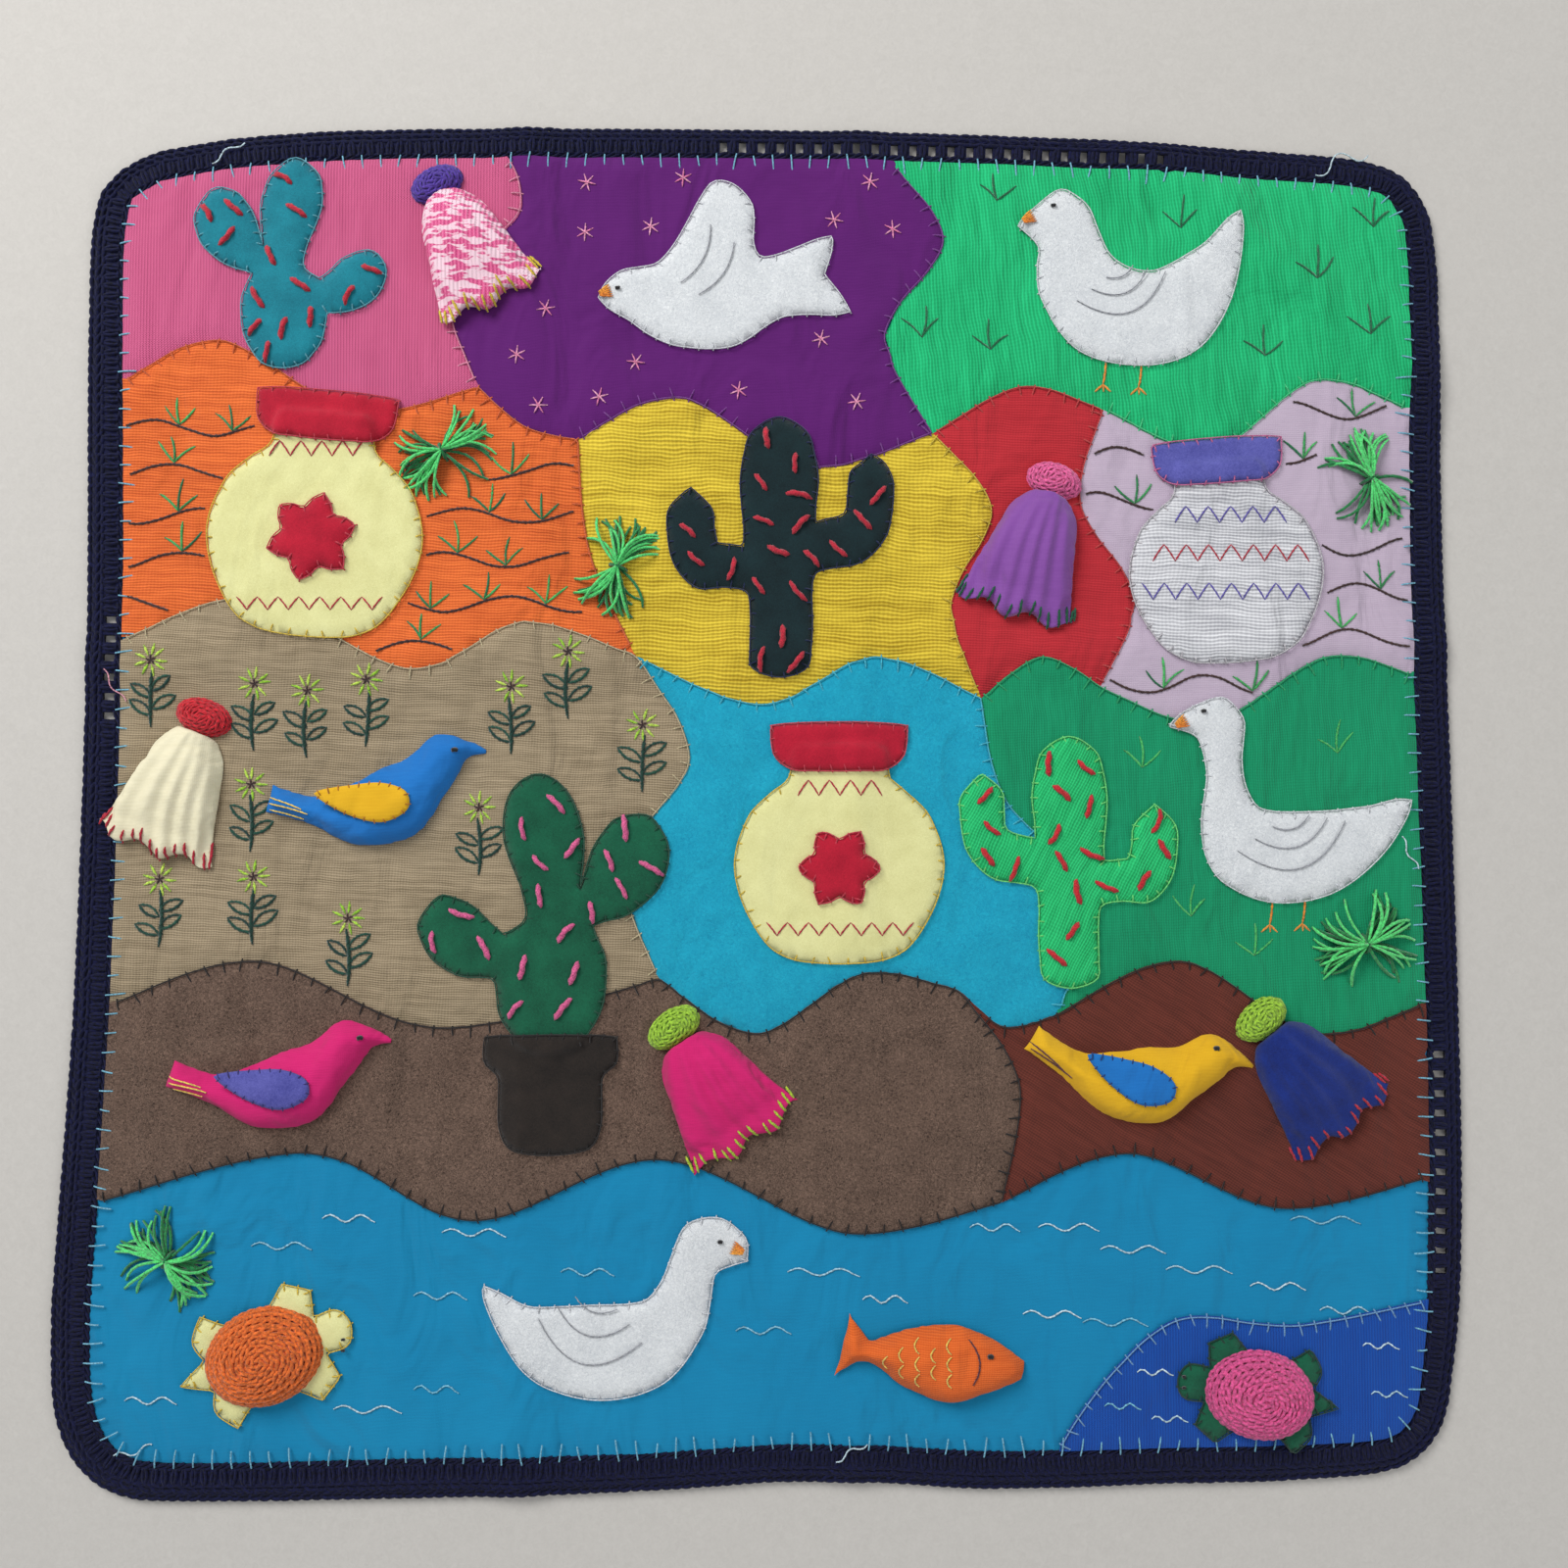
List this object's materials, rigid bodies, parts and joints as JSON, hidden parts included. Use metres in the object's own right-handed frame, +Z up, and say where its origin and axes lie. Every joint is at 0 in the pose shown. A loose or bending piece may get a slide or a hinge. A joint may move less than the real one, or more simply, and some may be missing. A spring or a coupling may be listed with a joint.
{
  "type": "appliqué wall textile",
  "caption": "Square cloth panel of sewn patches with felt and stuffed shapes, yarn tufts and a crocheted border with open slots.",
  "frame": {"origin": "middle of the textile's bounding box, on the surface that it lies on", "axes": "+Z up out of the worked face, +Y towards the top edge of the design, +X to its right"},
  "size_m": [0.467, 0.4594, 0.0146],
  "materials": {
    "turquoise_cotton": "matt plain-weave cotton",
    "navy_crochet": "matt acrylic yarn, crocheted",
    "royal_jersey": "matt ribbed jersey",
    "brown_tweed": "matt mottled tweed",
    "maroon_gauze": "matt open-weave gauze",
    "tan_gauze": "matt open-weave gauze",
    "cyan_fleece": "brushed, matt",
    "emerald_muslin": "matt slubbed muslin",
    "orange_gauze": "matt open-weave gauze",
    "pink_jersey": "matt ribbed jersey",
    "purple_cotton": "matt plain-weave cotton",
    "yellow_gauze": "matt open-weave gauze",
    "red_cotton": "matt plain-weave cotton",
    "green_gauze": "matt open-weave gauze",
    "lilac_cotton": "matt plain-weave cotton",
    "white_fleece": "brushed, matt",
    "cream_felt": "matt felt",
    "red_felt": "matt felt",
    "lavender_felt": "matt felt",
    "black_felt": "matt felt",
    "green_felt": "matt felt",
    "teal_felt": "matt felt",
    "brown_felt": "matt felt",
    "purple_satin": "soft sheen on gathered cotton",
    "magenta_cotton": "matt plain-weave cotton",
    "cream_cotton": "matt plain-weave cotton",
    "navy_felt": "matt felt",
    "pink_knit": "matt stockinette knit",
    "yellow_cotton": "matt plain-weave cotton",
    "blue_cotton": "matt plain-weave cotton",
    "pink_crochet": "matt acrylic yarn, crocheted",
    "lime_crochet": "matt acrylic yarn, crocheted",
    "orange_crochet": "matt acrylic yarn, crocheted",
    "red_crochet": "matt acrylic yarn, crocheted",
    "purple_crochet": "matt acrylic yarn, crocheted",
    "green_yarn": "matt two-tone yarn"
  },
  "bodies": {
    "root": {"bank_patch": "brown_tweed", "blue_bird": "blue_cotton", "blue_bird_wing": "yellow_cotton", "cactus_green": "green_gauze", "cactus_pink": "teal_felt", "cactus_tan": "green_felt", "cactus_tan_pot": "brown_felt", "cactus_yellow": "black_felt", "cream_bell": "cream_cotton", "cream_bell_cap": "red_crochet", "crochet_border": "navy_crochet", "emerald_patch": "emerald_muslin", "fleece_patch": "cyan_fleece", "green_patch": "green_gauze", "ground_cloth": "turquoise_cotton", "jug_fleece": "cream_felt", "jug_fleece_blossom": "red_felt", "jug_fleece_rim": "red_felt", "jug_lilac": "white_fleece", "jug_lilac_rim": "lavender_felt", "jug_orange": "cream_felt", "jug_orange_blossom": "red_felt", "jug_orange_rim": "red_felt", "knit_bell": "pink_knit", "knit_bell_cap": "purple_crochet", "lilac_patch": "lilac_cotton", "magenta_bell": "magenta_cotton", "magenta_bell_cap": "lime_crochet", "magenta_bird": "magenta_cotton", "magenta_bird_wing": "lavender_felt", "maroon_patch": "maroon_gauze", "navy_bell": "navy_felt", "navy_bell_cap": "lime_crochet", "orange_fish": "orange_gauze", "orange_patch": "orange_gauze", "pink_patch": "pink_jersey", "pond_turtle": "cream_felt", "pond_turtle_shell": "orange_crochet", "pool_patch": "royal_jersey", "pool_turtle": "green_felt", "pool_turtle_shell": "pink_crochet", "purple_bell": "purple_satin", "purple_bell_cap": "pink_crochet", "purple_patch": "purple_cotton", "red_patch": "red_cotton", "tan_patch": "tan_gauze", "tuft_corner": "green_yarn", "tuft_emerald": "green_yarn", "tuft_lilac": "green_yarn", "tuft_orange": "green_yarn", "tuft_yellow": "green_yarn", "white_dove": "white_fleece", "white_duck": "white_fleece", "white_goose": "white_fleece", "white_hen": "white_fleece", "yellow_bird": "yellow_cotton", "yellow_bird_wing": "blue_cotton", "yellow_patch": "yellow_gauze"}
  },
  "joints": []
}
